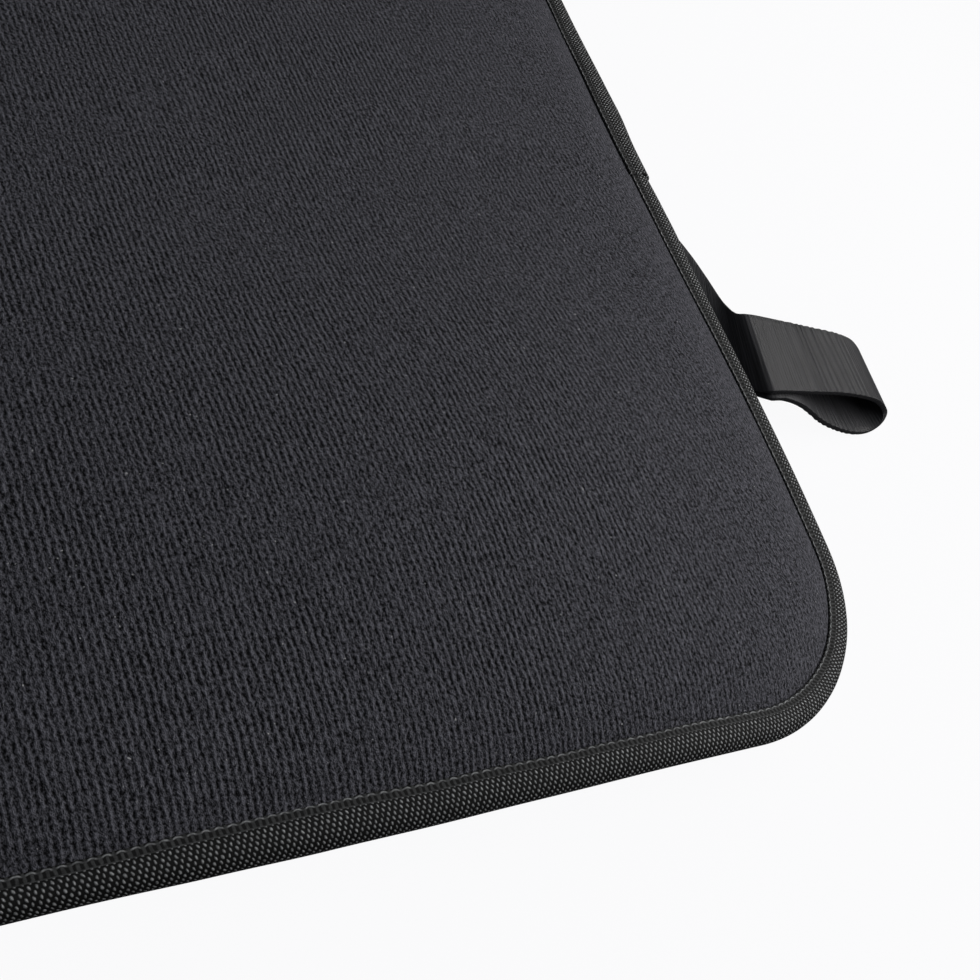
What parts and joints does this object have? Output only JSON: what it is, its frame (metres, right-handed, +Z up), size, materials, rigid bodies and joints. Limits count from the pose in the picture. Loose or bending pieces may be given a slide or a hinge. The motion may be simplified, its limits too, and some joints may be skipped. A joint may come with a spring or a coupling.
{
  "type": "tailgate bike pad",
  "caption": "Padded blanket that lies over a pickup tailgate to protect it and the bikes leaned on it, with a bound edge and webbing tie-down loops.",
  "frame": {"origin": "middle of the pad's outline, on the surface that the shell lies on", "axes": "+X along the pad's long side, +Y from the front long side to the back one, +Z up through the layers, from the shell to the lining"},
  "size_m": [1.464, 0.86, 0.015],
  "materials": {
    "rib_lining": "brushed cord rib, matte",
    "foam": "open-cell foam, matte",
    "shell_cloth": "coated woven cloth, low sheen",
    "binding_tape": "plain-woven tape, matte with light yarn crowns",
    "webbing": "smooth ribbed webbing, low sheen",
    "thread": "sewing thread, satin"
  },
  "bodies": {
    "root": {"lining_panel": "rib_lining", "foam_core": "foam", "outer_shell": "shell_cloth", "edge_binding": "binding_tape", "webbing_loop_front_left": "webbing", "webbing_loop_front_right": "webbing", "webbing_loop_back_left": "webbing", "webbing_loop_back_right": "webbing", "bar_tack_front_left": "thread", "bar_tack_front_right": "thread", "bar_tack_back_left": "thread", "bar_tack_back_right": "thread"}
  },
  "joints": []
}
